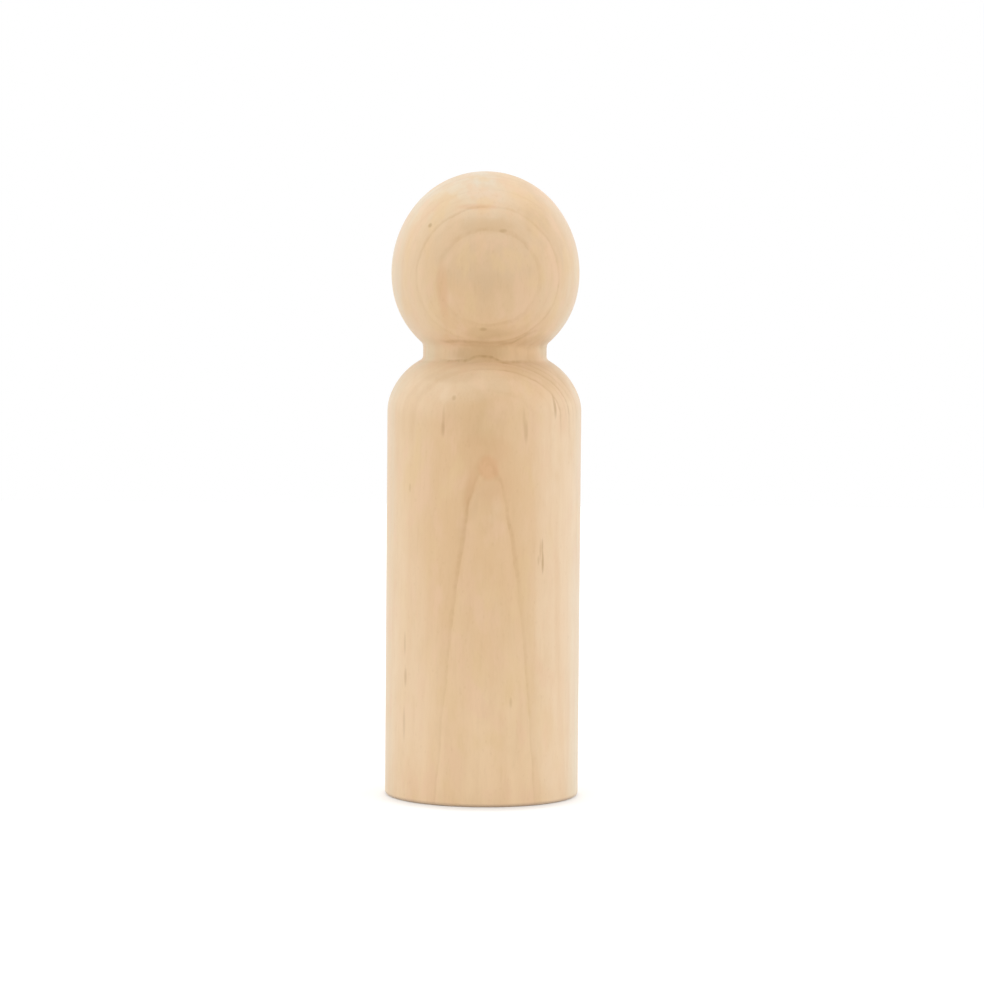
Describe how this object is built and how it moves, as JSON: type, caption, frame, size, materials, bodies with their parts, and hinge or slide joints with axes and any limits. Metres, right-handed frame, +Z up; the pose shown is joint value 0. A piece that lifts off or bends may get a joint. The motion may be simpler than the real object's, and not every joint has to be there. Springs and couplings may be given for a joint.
{
  "type": "peg doll",
  "caption": "Plain turned wooden peg doll with an oval head, a short grooved neck, rounded shoulders and a straight round body on a flat base.",
  "frame": {"origin": "centre of the flat base", "axes": "+Z up along the turning axis, from the base to the crown; -Y is the side that the picture shows"},
  "size_m": [0.0278, 0.0278, 0.0896],
  "materials": {
    "peg_doll": "matte"
  },
  "bodies": {
    "root": {"peg_doll": "peg_doll"}
  },
  "joints": []
}
